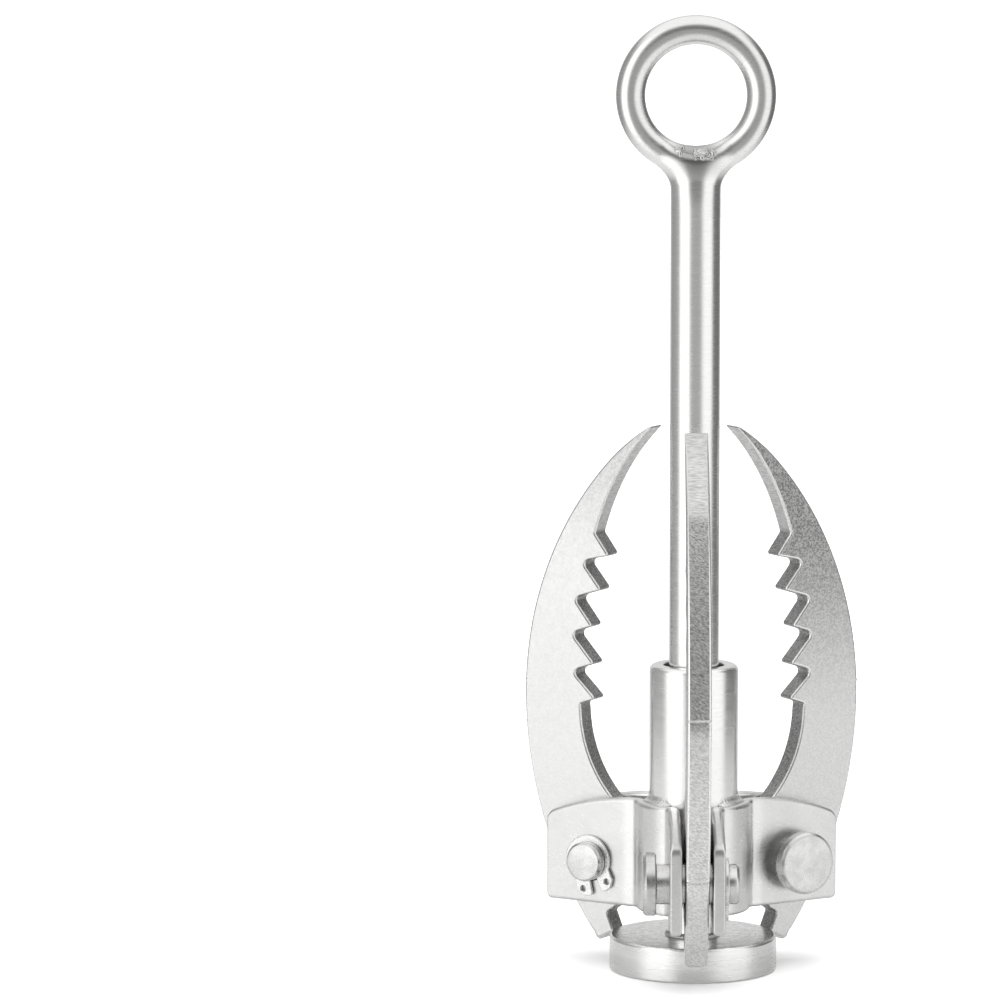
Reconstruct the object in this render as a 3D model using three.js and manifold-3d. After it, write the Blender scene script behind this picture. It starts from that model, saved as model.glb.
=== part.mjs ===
// Sliding-sleeve grapnel anchor: a rod with an eye at its top and a round foot at its bottom, and a
// sleeve that slides on the rod and carries three toothed claws on pins. With the sleeve down, the heel
// of each claw hooks over the rim of the foot and the claws stay shut against the rod.
// Millimetres, +Z up along the rod, origin at the middle of the foot's flat underside.

import * as THREE from "three";
import { mergeVertices } from "three/addons/utils/BufferGeometryUtils.js";
import Module from "manifold-3d";

const wasm = await Module();
wasm.setup();

// ---- driving dimensions ----

const GAP = 0.3; // kept between neighbouring solids that are welded or seated in reality

const FOOT_RADIUS = 25.2;
const FOOT_HEIGHT = 10.5;
const FOOT_EDGE = 0.9; // rounding of both rims

const ROD_RADIUS = 7.5;
const FOOT_WELD_LEG = 1.2;
const FOOT_WELD_SINK = 0.15; // hollow of the bead's face between its legs

const EYE_CENTRE_Z = 264;
const EYE_MEAN_RADIUS = 19.5;
const EYE_WIRE_RADIUS = 4.4;
const NECK_FILLET = 5; // radius of the hollow between the rod's side and the eye's outside

const SLEEVE_RADIUS = 13.4;
const SLEEVE_BORE = 9.1;
const SLEEVE_BOTTOM = 26.2;
const SLEEVE_TOP = 93;
const SLEEVE_EDGE = 1.8; // rounding of its upper rim
const SLEEVE_CHAMFER = 0.6; // at its lower rim and in the mouth of the bore

const PLATE = 3.6; // thickness of the bracket's bent plates
const SLOT = 9.2; // clear width between the two ears of one arm
const EAR_END = 46.3; // distance of an ear's outer edge from the rod's axis
const EAR_BOTTOM = 18.4;
const EAR_TOP = 51.6; // height where an ear leaves the sleeve
const EAR_TOP_ARC = 76; // radius of the slow fall of an ear's top edge
const EAR_CORNERS = { bottom: 1.5, top: 2.2 };
const PLATE_BEND = 4; // bend radius at mid thickness
const SLEEVE_WELD_LEG = 2.2;

const PIVOT_R = 31.2; // pin axis: distance from the rod's axis and height
const PIVOT_Z = 31.5;
const PIN_RADIUS = 6;
const PIN_HOLE = 6.35;
const PIN_HEAD_RADIUS = 9.4;
const PIN_HEAD = 3.8;
const PIN_FLOAT = 3.9; // room between head and ear when the circlip touches the other ear
const PIN_CHAMFER = 0.7;
const PIN_TAIL = 3.1; // shank past the circlip
const CIRCLIP = 1.1; // thickness
const CIRCLIP_BORE = 5.8;
const GROOVE_RADIUS = 5.4;

const CLAW = 7; // thickness of the claw plate

const ARMS = { front: -90, right: 30, left: 150 }; // azimuth of each claw, degrees
const PLATES = { front_right: -30, rear: 90, front_left: 210 }; // azimuth of each plate's middle

// ---- materials ----

const steel = (name, color, roughness) => {
  const material = new THREE.MeshStandardMaterial({ color, roughness, metalness: 1 });
  material.name = name;
  return material;
};
const polishedSteel = steel("polished_steel", 0xd5d6d4, 0.12);
const turnedSteel = steel("turned_steel", 0xc4c5c3, 0.3);
const satinSteel = steel("satin_steel", 0xc9cac8, 0.34);
const clawSteel = steel("claw_steel", 0xbfbfbd, 0.4);
const pinSteel = steel("pin_steel", 0xc2c2bf, 0.3);
const weldSteel = steel("weld_steel", 0xa9a8a4, 0.45);

// ---- solids ----

const radians = THREE.MathUtils.degToRad;

// A three.js geometry as a manifold-3d solid, and back.
function toSolid(geometry) {
  const bare = geometry.clone();
  bare.deleteAttribute("normal");
  bare.deleteAttribute("uv");
  const merged = mergeVertices(bare, 1e-4);
  return new wasm.Manifold(
    new wasm.Mesh({
      numProp: 3,
      vertProperties: new Float32Array(merged.attributes.position.array),
      triVerts: new Uint32Array(merged.index.array),
    }),
  );
}

function toGeometry(solid) {
  const mesh = solid.getMesh();
  const geometry = new THREE.BufferGeometry();
  geometry.setAttribute("position", new THREE.BufferAttribute(mesh.vertProperties, 3));
  geometry.setIndex(new THREE.BufferAttribute(mesh.triVerts, 1));
  const faceted = geometry.toNonIndexed();
  faceted.computeVertexNormals();
  return faceted;
}

const cut = (geometry, ...cutters) =>
  toGeometry(cutters.reduce((solid, cutter) => solid.subtract(toSolid(cutter)), toSolid(geometry)));

// A turned body about +Z. The profile is [radius, height] pairs, from the lowest point upwards.
function turned(profile, segments) {
  const points = profile.map(([r, z]) => new THREE.Vector2(r, z));
  return new THREE.LatheGeometry(points, segments).rotateX(Math.PI / 2);
}

// A flat plate: an outline in the X-Z plane, centred on Y = 0.
function plateOf(shape, thickness) {
  return new THREE.ExtrudeGeometry(shape, { depth: thickness, bevelEnabled: false, curveSegments: 12 })
    .rotateX(Math.PI / 2)
    .translate(0, thickness / 2, 0);
}

// A closed body through rings of points. Each ring is convex and has the same number of points.
function loft(rings) {
  const size = rings[0].length;
  const positions = rings.flat(2);
  const index = [];
  for (let ring = 0; ring < rings.length - 1; ring++) {
    for (let i = 0; i < size; i++) {
      const a = ring * size + i;
      const b = ring * size + ((i + 1) % size);
      index.push(a, b, b + size, a, b + size, a + size);
    }
  }
  const last = (rings.length - 1) * size;
  for (let i = 1; i < size - 1; i++) {
    index.push(0, i + 1, i);
    index.push(last, last + i, last + i + 1);
  }
  const geometry = new THREE.BufferGeometry();
  geometry.setAttribute("position", new THREE.Float32BufferAttribute(positions, 3));
  geometry.setIndex(index);
  return geometry;
}

// Points along an arc, both ends included; angles in degrees.
function arc(x, y, radius, from, to, steps) {
  return Array.from({ length: steps + 1 }, (_, i) => {
    const a = radians(from + ((to - from) * i) / steps);
    return [x + radius * Math.cos(a), y + radius * Math.sin(a)];
  });
}

// A closed outline whose corners may be rounded: each entry is [x, y] or [x, y, corner radius].
function roundedOutline(corners) {
  const steps = 4;
  const points = [];
  corners.forEach(([x, y, radius = 0], i) => {
    const here = new THREE.Vector2(x, y);
    if (!radius) {
      points.push(here);
      return;
    }
    const before = corners[(i + corners.length - 1) % corners.length];
    const after = corners[(i + 1) % corners.length];
    const back = new THREE.Vector2(before[0], before[1]).sub(here).normalize();
    const ahead = new THREE.Vector2(after[0], after[1]).sub(here).normalize();
    const half = Math.acos(back.dot(ahead)) / 2;
    const middle = back.clone().add(ahead).normalize().multiplyScalar(radius / Math.sin(half)).add(here);
    const start = here.clone().addScaledVector(back, radius / Math.tan(half)).sub(middle);
    const end = here.clone().addScaledVector(ahead, radius / Math.tan(half)).sub(middle);
    let turn = end.angle() - start.angle();
    if (turn > Math.PI) turn -= 2 * Math.PI;
    if (turn < -Math.PI) turn += 2 * Math.PI;
    for (let step = 0; step <= steps; step++) {
      points.push(start.clone().rotateAround(new THREE.Vector2(), (turn * step) / steps).add(middle));
    }
  });
  return points;
}

// ---- shaft: foot, rod, eye and their welds ----

function footDisc() {
  const rimBottom = arc(FOOT_RADIUS - FOOT_EDGE, FOOT_EDGE, FOOT_EDGE, -90, 0, 3);
  const rimTop = arc(FOOT_RADIUS - FOOT_EDGE, FOOT_HEIGHT - FOOT_EDGE, FOOT_EDGE, 0, 90, 3);
  return turned([[0, 0], ...rimBottom, ...rimTop, [0, FOOT_HEIGHT]], 60);
}

// The height at which the hollow of the neck leaves the rod's straight side.
const neckCentreX = ROD_RADIUS + NECK_FILLET;
const eyeOuter = EYE_MEAN_RADIUS + EYE_WIRE_RADIUS;
const NECK_BOTTOM = EYE_CENTRE_Z - Math.sqrt((eyeOuter + NECK_FILLET) ** 2 - neckCentreX ** 2);
const neckRise = ((EYE_CENTRE_Z - NECK_BOTTOM) * NECK_FILLET) / (eyeOuter + NECK_FILLET);

function rod() {
  const bottom = FOOT_HEIGHT + GAP;
  const top = NECK_BOTTOM - GAP;
  return turned([[0, bottom], [ROD_RADIUS, bottom], [ROD_RADIUS, top], [0, top]], 48);
}

function footWeld() {
  const inner = ROD_RADIUS + GAP;
  const bottom = FOOT_HEIGHT + GAP;
  const [foot, ...face] = arc(inner, bottom, FOOT_WELD_LEG, 0, 90, 5);
  const top = face.pop();
  const sunk = face.map(([r, z]) => [r - FOOT_WELD_SINK, z - FOOT_WELD_SINK]);
  return turned([[inner, bottom], foot, ...sunk, top, [inner, bottom]], 36);
}

const eyeRing = (wireRadius) =>
  new THREE.TorusGeometry(EYE_MEAN_RADIUS, wireRadius, 16, 48)
    .rotateX(Math.PI / 2)
    .translate(0, 0, EYE_CENTRE_Z);

// The weld that carries the rod into the eye: round below, a saddle round the eye's wire above.
function neckWeld() {
  const levels = 8;
  const sides = 32;
  const lip = 1.2; // how far the weld stands proud of the wire at its top
  const rings = Array.from({ length: levels + 1 }, (_, level) => {
    const rise = (neckRise * level) / levels;
    const halfWidth = neckCentreX - Math.sqrt(NECK_FILLET ** 2 - rise ** 2);
    const ease = (1 - Math.cos((Math.PI * level) / levels)) / 2;
    const halfDepth = ROD_RADIUS + (EYE_WIRE_RADIUS + lip - ROD_RADIUS) * ease;
    return Array.from({ length: sides }, (_, side) => {
      const a = (2 * Math.PI * side) / sides;
      return [halfWidth * Math.cos(a), halfDepth * Math.sin(a), NECK_BOTTOM + rise];
    });
  });
  return cut(loft(rings), eyeRing(EYE_WIRE_RADIUS + GAP));
}

// ---- sleeve and its bracket ----

function sleeve() {
  const edge = SLEEVE_EDGE;
  return turned(
    [
      [SLEEVE_BORE, SLEEVE_BOTTOM],
      [SLEEVE_RADIUS - SLEEVE_CHAMFER, SLEEVE_BOTTOM],
      [SLEEVE_RADIUS, SLEEVE_BOTTOM + SLEEVE_CHAMFER],
      ...arc(SLEEVE_RADIUS - edge, SLEEVE_TOP - edge, edge, 0, 90, 4),
      [SLEEVE_BORE + SLEEVE_CHAMFER, SLEEVE_TOP],
      [SLEEVE_BORE, SLEEVE_TOP - SLEEVE_CHAMFER],
      [SLEEVE_BORE, SLEEVE_BOTTOM],
    ],
    48,
  );
}

// How far an ear's top or bottom edge draws in close to its outer end, for a rounded corner.
const cornerDraw = (radius, toEnd) =>
  toEnd >= radius ? 0 : radius - Math.sqrt(radius ** 2 - (radius - toEnd) ** 2);

const earTop = (s) => EAR_TOP - EAR_TOP_ARC + Math.sqrt(EAR_TOP_ARC ** 2 - Math.max(0, s - PIVOT_R / 2) ** 2);

// Mid-thickness path of one bent plate, seen from above, from the panel's middle (+X) to the end of the
// ear beside the arm at +60 degrees. Each station is its place, its outward normal and its two edges.
function halfPlatePath() {
  const panelRadius = SLEEVE_RADIUS + GAP + PLATE / 2;
  const earOffset = SLOT / 2 + PLATE / 2;
  const bendOffset = earOffset + PLATE_BEND;
  const bendS = Math.sqrt((panelRadius + PLATE_BEND) ** 2 - bendOffset ** 2);
  const armAngle = 60;
  const along = (s, offset) => {
    const a = radians(armAngle);
    return [s * Math.cos(a) + offset * Math.sin(a), s * Math.sin(a) - offset * Math.cos(a)];
  };
  const bendAngle = armAngle - THREE.MathUtils.radToDeg(Math.atan2(bendOffset, bendS));
  const stations = [];
  const panelSteps = 7;
  for (let i = 0; i <= panelSteps; i++) {
    const a = radians((bendAngle * i) / panelSteps);
    const normal = [Math.cos(a), Math.sin(a)];
    stations.push({ at: normal.map((v) => v * panelRadius), normal, low: EAR_BOTTOM, high: EAR_TOP });
  }
  const [bendX, bendY] = along(bendS, bendOffset);
  const bendSteps = 6;
  for (let i = 1; i <= bendSteps; i++) {
    const from = bendAngle;
    const to = armAngle - 90;
    const a = radians(from + ((to - from) * i) / bendSteps);
    const normal = [Math.cos(a), Math.sin(a)];
    const at = [bendX - PLATE_BEND * normal[0], bendY - PLATE_BEND * normal[1]];
    stations.push({ at, normal, low: EAR_BOTTOM, high: earTop(bendS) });
  }
  const earNormal = [Math.sin(radians(armAngle)), -Math.cos(radians(armAngle))];
  const straight = [0.12, 0.24, 0.36, 0.48, 0.6, 0.72, 0.84, 0.925, 0.95, 0.97, 0.985, 0.995, 1];
  straight.forEach((part) => {
    const s = bendS + (EAR_END - bendS) * part;
    const low = EAR_BOTTOM + cornerDraw(EAR_CORNERS.bottom, EAR_END - s);
    const high = earTop(s) - cornerDraw(EAR_CORNERS.top, EAR_END - s);
    stations.push({ at: along(s, earOffset), normal: earNormal, low, high });
  });
  return stations;
}

function bentPlate() {
  const half = halfPlatePath();
  const mirrored = half
    .slice(1)
    .reverse()
    .map(({ at, normal, ...edges }) => ({ at: [at[0], -at[1]], normal: [normal[0], -normal[1]], ...edges }));
  const rings = [...mirrored, ...half].map(({ at, normal, low, high }) => {
    const inner = at.map((v, i) => v - (normal[i] * PLATE) / 2);
    const outer = at.map((v, i) => v + (normal[i] * PLATE) / 2);
    return [
      [...inner, low],
      [...inner, high],
      [...outer, high],
      [...outer, low],
    ];
  });
  const holes = [60, -60].map((armAngle) =>
    new THREE.CylinderGeometry(PIN_HOLE, PIN_HOLE, 4 * SLOT, 28)
      .translate(PIVOT_R, 0, PIVOT_Z)
      .rotateZ(radians(armAngle)),
  );
  return cut(loft(rings), ...holes);
}

// Fillet weld that joins the top edge of one plate to the sleeve.
function sleeveWeld() {
  const reach = 27; // half of the arc it covers, degrees
  const steps = 12;
  const inner = SLEEVE_RADIUS + GAP + 0.02;
  const bottom = EAR_TOP + GAP;
  const section = [[0, 0], [1, 0], [0.62, 0.42], [0.3, 0.72], [0, 1]]; // outwards and upwards, in legs
  const rings = Array.from({ length: steps + 1 }, (_, i) => {
    const a = radians(-reach + (2 * reach * i) / steps);
    const taper = Math.min(1, 0.35 + (Math.min(i, steps - i) * 0.65) / 2);
    const leg = SLEEVE_WELD_LEG * taper;
    return section.map(([out, up]) => {
      const radius = inner + out * leg;
      return [radius * Math.cos(a), radius * Math.sin(a), bottom + up * leg];
    });
  });
  return loft(rings.map((ring) => ring.toReversed()));
}

// ---- claw ----

const TIP = [12.9, 164.6];
const BLADE_CONTROL = [26.4, 151.4]; // bends the blade between the tip and the elbow
const ELBOW = [32.3, 130.8];
const TOOTH_TIPS = [[27.5, 124.3], [30.2, 113.7], [33.2, 102.4], [32.6, 90.9], [32.1, 80.2]];
const GULLETS = [[37.1, 122.2], [39.8, 110.8], [40.7, 100], [40.5, 88.4], [37.3, 78.5]];
const TOOTH_ROUND = 0.7;
const GULLET_ROUND = 1.6;
const LAST_GULLET_ROUND = 0.8;
const BELLY = 56.6; // greatest reach of the back, at BELLY_Z
const BELLY_Z = 81;
const BACK_UPPER = 105; // radii of the back above and below the belly
const BACK_LOWER = 121.6;
const BACK_END = 44; // angle where the upper arc of the back passes into the curve to the tip
const BACK_PULL = 9; // length of the tangent that bends this curve
const THROAT = { x: -2.1, z: 77.6, radius: 39.2 }; // hollow between the last tooth and the hub
const HUB_RADIUS = 17.3; // the hub's inner edge, about the pin, clears the sleeve
const NOTCH = [27.9, 15.05]; // the notch that takes the foot's rim
const HEEL_INNER = [25.6, 9.4];
const HEEL_TIP = [31.6, 5.4];

// Points of a quadratic curve between its ends, both left out.
function bend(start, control, end, divisions) {
  const [a, b, c] = [start, control, end].map((point) => new THREE.Vector2(...point));
  const points = new THREE.QuadraticBezierCurve(a, b, c).getPoints(divisions);
  return points.slice(1, -1).map(({ x, y }) => [x, y]);
}

function clawOutline() {
  const teeth = TOOTH_TIPS.flatMap((tip, i) => [
    [...tip, TOOTH_ROUND],
    [...GULLETS[i], i < GULLETS.length - 1 ? GULLET_ROUND : LAST_GULLET_ROUND],
  ]);
  const back = [
    ...arc(BELLY - BACK_LOWER, BELLY_Z, BACK_LOWER, -36.5, 0, 10),
    ...arc(BELLY - BACK_UPPER, BELLY_Z, BACK_UPPER, 0, BACK_END, 13).slice(1),
  ];
  const [x, z] = back.at(-1);
  const slope = radians(BACK_END);
  const pull = [x - BACK_PULL * Math.sin(slope), z + BACK_PULL * Math.cos(slope)];
  return roundedOutline([
    TIP,
    ...bend(TIP, BLADE_CONTROL, ELBOW, 10),
    [...ELBOW, 1],
    ...teeth,
    ...arc(THROAT.x, THROAT.z, THROAT.radius, -3, -42.5, 9),
    ...arc(PIVOT_R, PIVOT_Z, HUB_RADIUS, 155, 209, 6),
    [...NOTCH, 0.8],
    [...HEEL_INNER, 0.5],
    [...HEEL_TIP, 1],
    ...back,
    ...bend([x, z], pull, TIP, 5),
  ]);
}

function claw() {
  const shape = new THREE.Shape(clawOutline());
  const hole = new THREE.Path();
  hole.absarc(PIVOT_R, PIVOT_Z, PIN_HOLE, 0, 2 * Math.PI, true);
  shape.holes.push(hole);
  return plateOf(shape, CLAW);
}

// ---- pin and circlip: along +Y, the head at the low end, the pin's axis through the origin ----

const earOuter = SLOT / 2 + PLATE;
const clipStart = earOuter + GAP;

function clevisPin() {
  const headTop = -(earOuter + PIN_FLOAT);
  const grooveStart = clipStart - GAP;
  const grooveEnd = clipStart + CIRCLIP + GAP;
  const tail = clipStart + CIRCLIP + PIN_TAIL;
  const profile = [
    [0, headTop - PIN_HEAD],
    [PIN_HEAD_RADIUS - PIN_CHAMFER, headTop - PIN_HEAD],
    [PIN_HEAD_RADIUS, headTop - PIN_HEAD + PIN_CHAMFER],
    [PIN_HEAD_RADIUS, headTop - 0.3],
    [PIN_HEAD_RADIUS - 0.3, headTop],
    [PIN_RADIUS, headTop],
    [PIN_RADIUS, grooveStart],
    [GROOVE_RADIUS, grooveStart],
    [GROOVE_RADIUS, grooveEnd],
    [PIN_RADIUS, grooveEnd],
    [PIN_RADIUS, tail - PIN_CHAMFER],
    [PIN_RADIUS - PIN_CHAMFER, tail],
    [0, tail],
  ];
  return new THREE.LatheGeometry(profile.map(([r, y]) => new THREE.Vector2(r, y)), 32);
}

// External circlip, open at its foot between two lugs with plier holes; it leans by CLIP_LEAN.
const CLIP_LEAN = -109;

function circlip() {
  const topRadius = 7.8; // widest opposite the opening, and narrower towards the lugs
  const sideRadius = 7.3;
  const lugRadius = 10.6;
  const lugCentre = 8.8;
  const opening = 12; // half angles seen from the middle, degrees
  const holeAngle = 29;
  const lugEnd = 45;
  const outer = Array.from({ length: 21 }, (_, i) => {
    const a = 55 + (250 * i) / 20;
    const radius = sideRadius + (topRadius - sideRadius) * Math.sin(radians((a - 55) * (180 / 250)));
    return [radius * Math.cos(radians(a)), radius * Math.sin(radians(a))];
  });
  const polar = (radius, a) => [radius * Math.cos(radians(a)), radius * Math.sin(radians(a))];
  const corners = [
    [...polar(lugRadius, opening * 0.75), 1],
    [...polar(lugRadius + 0.4, 26), 1.2],
    [...polar(lugRadius - 0.7, lugEnd - 5), 1.2],
    ...outer,
    [...polar(lugRadius - 0.7, 360 - lugEnd + 5), 1.2],
    [...polar(lugRadius + 0.4, 360 - 26), 1.2],
    [...polar(lugRadius, 360 - opening * 0.75), 1],
    ...arc(0, 0, CIRCLIP_BORE, 360 - opening, opening, 22),
  ];
  const shape = new THREE.Shape(roundedOutline(corners));
  for (const a of [holeAngle, -holeAngle]) {
    const hole = new THREE.Path();
    hole.absarc(...polar(lugCentre, a), 0.9, 0, 2 * Math.PI, true);
    shape.holes.push(hole);
  }
  return plateOf(shape, CIRCLIP)
    .rotateY(-radians(CLIP_LEAN))
    .translate(0, clipStart + CIRCLIP / 2, 0);
}

// ---- assembly ----

const grapnel = new THREE.Group();

function add(parent, name, geometry, material) {
  const mesh = new THREE.Mesh(geometry, material);
  mesh.name = name;
  parent.add(mesh);
  return mesh;
}

add(grapnel, "base_disc", footDisc(), turnedSteel);
add(grapnel, "base_weld", footWeld(), weldSteel);
add(grapnel, "shaft_rod", rod(), polishedSteel);
add(grapnel, "eye_weld", neckWeld(), weldSteel);
add(grapnel, "eye_ring", eyeRing(EYE_WIRE_RADIUS), polishedSteel);
add(grapnel, "sleeve_tube", sleeve(), polishedSteel);

for (const [place, azimuth] of Object.entries(PLATES)) {
  const bracket = new THREE.Group();
  bracket.rotation.z = radians(azimuth);
  add(bracket, `bracket_plate_${place}`, bentPlate(), satinSteel);
  add(bracket, `bracket_weld_${place}`, sleeveWeld(), weldSteel);
  grapnel.add(bracket);
}

for (const [place, azimuth] of Object.entries(ARMS)) {
  const arm = new THREE.Group();
  arm.rotation.z = radians(azimuth);
  add(arm, `claw_${place}`, claw(), clawSteel);
  const pinned = new THREE.Group();
  pinned.position.set(PIVOT_R, 0, PIVOT_Z);
  add(pinned, `clevis_pin_${place}`, clevisPin(), pinSteel);
  add(pinned, `circlip_${place}`, circlip(), pinSteel);
  arm.add(pinned);
  grapnel.add(arm);
}

export default grapnel;
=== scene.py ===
"""Looks of a sliding-sleeve grapnel anchor in stainless steel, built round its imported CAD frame.

Shapes are worked out in millimetres and written to meshes in metres, in the frame's own axes:
+Z up along the rod, origin under the middle of the foot, camera on the -Y side.
"""

import math

import bmesh
import bpy
import numpy as np
from mathutils import Matrix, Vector
from mathutils.geometry import tessellate_polygon


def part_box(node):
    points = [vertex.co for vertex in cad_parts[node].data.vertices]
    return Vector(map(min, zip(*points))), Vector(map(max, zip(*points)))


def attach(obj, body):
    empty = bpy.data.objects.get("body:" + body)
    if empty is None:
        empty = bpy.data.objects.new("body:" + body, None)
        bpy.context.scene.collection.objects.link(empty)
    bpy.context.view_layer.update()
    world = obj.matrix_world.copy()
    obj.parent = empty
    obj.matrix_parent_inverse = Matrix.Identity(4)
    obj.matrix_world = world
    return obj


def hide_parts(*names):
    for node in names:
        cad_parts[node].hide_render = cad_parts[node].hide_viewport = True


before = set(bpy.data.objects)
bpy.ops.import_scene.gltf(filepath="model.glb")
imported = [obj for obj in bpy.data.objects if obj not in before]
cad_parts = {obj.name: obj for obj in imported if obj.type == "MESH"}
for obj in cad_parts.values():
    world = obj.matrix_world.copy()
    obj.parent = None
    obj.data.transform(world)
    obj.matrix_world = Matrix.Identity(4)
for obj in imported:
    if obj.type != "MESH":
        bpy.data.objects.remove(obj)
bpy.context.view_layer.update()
scene = bpy.context.scene

MM = 0.001
ARMS = {"front": -90, "right": 30, "left": 150}  # azimuth of each claw, degrees
PLATES = {"front_right": -30, "rear": 90, "front_left": 210}  # azimuth of each plate's middle


# ---- sizes ----


def box_mm(node):
    low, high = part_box(node)
    return np.array(low) / MM, np.array(high) / MM


_, foot_high = box_mm("base_disc")
rod_low, rod_high = box_mm("shaft_rod")
eye_low, eye_high = box_mm("eye_ring")
sleeve_low, sleeve_high = box_mm("sleeve_tube")

FOOT_RADIUS, FOOT_HEIGHT = foot_high[0], foot_high[2]
FOOT_EDGE = 0.9
FOOT_WELD_LEG = 1.2
ROD_RADIUS = rod_high[0]

EYE_WIRE = eye_high[1]  # radius of the eye's wire
EYE_MEAN = eye_high[0] - EYE_WIRE  # radius of the wire's middle line
EYE_Z = (eye_low[2] + eye_high[2]) / 2
EYE_BOTTOM = EYE_Z - EYE_MEAN  # lowest height of the wire's middle line

NECK_FILLET, NECK_SIDE_FILLET = 5, 4.5  # hollow between rod and eye, seen from the front and the side
NECK_START = EYE_Z - math.sqrt((EYE_MEAN + EYE_WIRE + NECK_FILLET) ** 2 - (ROD_RADIUS + NECK_FILLET) ** 2)
NECK_SEAM = NECK_START - 10  # where the neck's surface takes over from the rod's
SEAM_SINK = 0.35  # how far the neck's surface dips into the rod below the seam
ROD_FLATTENING = 0.26  # share by which the top of the rod is thinner from front to back
ROD_SHOULDER = 3  # rounding of the rod's upper end
ROD_OVER_WIRE = 0.8  # how far that end stands above the wire's middle line

SLEEVE_RADIUS = sleeve_high[0]
SLEEVE_BOTTOM, SLEEVE_TOP = sleeve_low[2], sleeve_high[2]
SLEEVE_BORE = 9.1
SLEEVE_EDGE, SLEEVE_EDGE_BELOW = 1.8, 0.6  # rounding of its outside at the top and at the bottom
BORE_EDGE, BORE_EDGE_BELOW = 0.7, 0.5

PLATE = 3.6  # thickness of the bracket's plates
SLOT = 9.2  # room between two ears
PLATE_GAP = 0.3  # between the plates and the sleeve
PLATE_BEND = 4  # radius of the bends into the ears, at mid thickness
PLATE_EDGE, END_EDGE = 1.15, 0.6  # rounding of the plates' long edges and of their ends
EAR_END = 46.3  # distance of the ears' ends from the axis, along the arm
EAR_BOTTOM, EAR_TOP = 18.4, 51.6
EAR_TOP_ARC = 76  # radius of the arched upper edge
EAR_CORNER_BOTTOM, EAR_CORNER_TOP = 1.5, 2.2
SLEEVE_WELD_LEG = 2.2

PIVOT_R, PIVOT_Z = 31.2, 31.5  # distance of the pins from the axis, and their height
PIN_RADIUS = 6
PIN_HOLE = 6.35
PIN_HEAD_RADIUS, PIN_HEAD = 9.4, 3.8
PIN_FLOAT = 3.9  # gap between a pin's head and the ear
PIN_CHAMFER = 0.7
PIN_TAIL = 3.1  # length of a pin past its clip
GROOVE_RADIUS = 5.4

CLIP, CLIP_EDGE = 1.1, 0.2  # thickness and rounding of the clips
CLIP_GAP = 0.3  # between a clip and its neighbours
CLIP_BORE = 5.8
CLIP_SIDE, CLIP_BACK = 7.3, 7.8  # outer radius beside the lugs and opposite them
CLIP_LUG = 10.6  # how far the lugs reach from the middle
CLIP_HOLE, CLIP_HOLE_AT = 0.9, (8.8, 29)  # radius of a lug's hole, and its place as (radius, angle)
CLIP_LEAN = -109  # how far a clip is turned round its pin

CLAW = 7  # thickness of the claws
CLAW_EDGE, TIP_EDGE, HEEL_EDGE = 0.62, 0.16, 1.2  # width of the worn edges, and at the tip and the heel
TIP, BLADE_CONTROL, ELBOW = (11.8, 165.4), (26.4, 151.4), (32.3, 130.8)
TIP_ROUND, TIP_CLEAR = 0.3, 2.2  # rounding of the tip, and the length it takes along either side
TOOTH_TIPS = [(27.5, 124.3), (30.2, 113.7), (33.2, 102.4), (32.6, 90.9), (32.1, 80.2)]
GULLETS = [(37.1, 122.2), (39.8, 110.8), (40.7, 100), (40.5, 88.4), (37.3, 78.5)]
TOOTH_ROUND = 0.75
GULLET_ROUNDS = [1.6, 1.6, 1.6, 1.6, 0.8]
THROAT, THROAT_RADIUS, THROAT_SPAN = (-2.1, 77.6), 39.2, (-3, -42.5)  # the arc below the teeth
HUB_RADIUS, HUB_SPAN = 17.3, (155, 209)  # the arc round the pivot
NOTCH, HEEL_INNER, HEEL_TIP = (27.9, 15.05), (25.6, 9.4), (31.6, 5.4)
BELLY, BELLY_Z = 56.6, 81  # where the back stands out furthest
BACK_UPPER, BACK_LOWER = 105, 121.6  # radius of the back above and below the belly
BACK_START, BACK_END = -36.5, 44  # degrees from the belly to the ends of the back's arcs
BACK_CONTROL = 9  # pull of the upper end on the curve to the tip
CUT_RIDGES = (35.2, 84.3)  # heights of the ridges that the cut left across the back
RIDGE, RIDGE_WIDTH = 0.3, 0.3  # how far they stand out, and half of how wide they are


# ---- mesh helpers ----


def piece(name, verts, faces, materials, crease=35):
    """A smooth-shaded object of the given vertices in millimetres, with its faces turned outwards."""
    mesh = bpy.data.meshes.new(name)
    mesh.from_pydata((np.asarray(verts, float) * MM).tolist(), [], faces)
    for material in materials:
        mesh.materials.append(material)
    body = bmesh.new()
    body.from_mesh(mesh)
    bmesh.ops.recalc_face_normals(body, faces=body.faces)
    body.to_mesh(mesh)
    body.free()
    mesh.shade_smooth()
    mesh.set_sharp_from_angle(angle=math.radians(crease))
    made = bpy.data.objects.new(name, mesh)
    scene.collection.objects.link(made)
    return made


def arc(x, y, radius, start, end, steps):
    """Points along an arc, both ends included; angles in degrees."""
    angles = np.radians(np.linspace(start, end, steps + 1))
    return [(x + radius * math.cos(a), y + radius * math.sin(a)) for a in angles]


def turned(profile, segments):
    """A body turned about +Z. Its profile of (radius, height) ends on the axis or where it began."""
    closed = profile[0] == profile[-1]
    verts, rings = [], []
    for radius, height in profile[: -1 if closed else None]:
        if radius == 0:
            rings.append([len(verts)] * segments)
            verts.append((0, 0, height))
            continue
        rings.append(range(len(verts), len(verts) + segments))
        for i in range(segments):
            a = 2 * math.pi * i / segments
            verts.append((radius * math.cos(a), radius * math.sin(a), height))
    faces = []
    for lower, upper in zip(rings, rings[1:] + rings[: 1 if closed else 0]):
        for i in range(segments):
            j = (i + 1) % segments
            faces.append(list(dict.fromkeys([lower[i], lower[j], upper[j], upper[i]])))
    return verts, faces


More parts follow.
